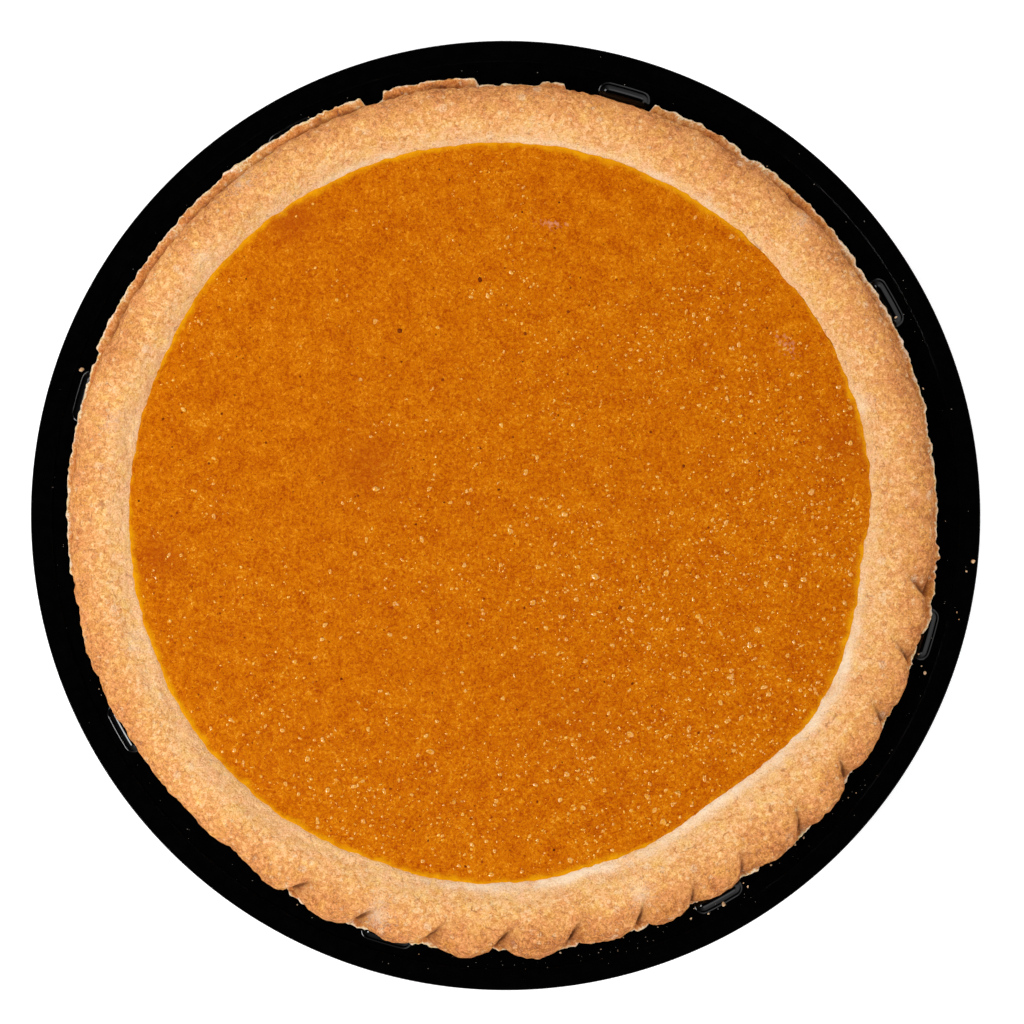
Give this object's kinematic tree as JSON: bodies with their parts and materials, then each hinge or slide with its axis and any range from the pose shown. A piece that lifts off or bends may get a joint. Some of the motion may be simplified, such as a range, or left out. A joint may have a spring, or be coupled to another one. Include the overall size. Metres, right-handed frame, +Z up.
{
  "type": "pumpkin pie",
  "caption": "Whole baked pumpkin pie: orange-brown custard in a pastry shell with a thick crimped rim, in its round black moulded dish with a wide flange.",
  "frame": {"origin": "bottom centre of the dish, on the surface that it stands on", "axes": "+Z up, +X to the right and +Y away from the deeply crimped side of the rim, as seen from above"},
  "size_m": [0.268, 0.268, 0.0378],
  "materials": {
    "dish": "black, glossy, thermoformed",
    "crust": "baked pastry: dry, sandy and matte, pale inside the rim and browner outside",
    "filling": "baked pumpkin custard: satin, finely pebbled, with pale bubbles and dark spice specks"
  },
  "bodies": {
    "root": {"dish": "dish", "crust": "crust", "filling": "filling"}
  },
  "joints": []
}
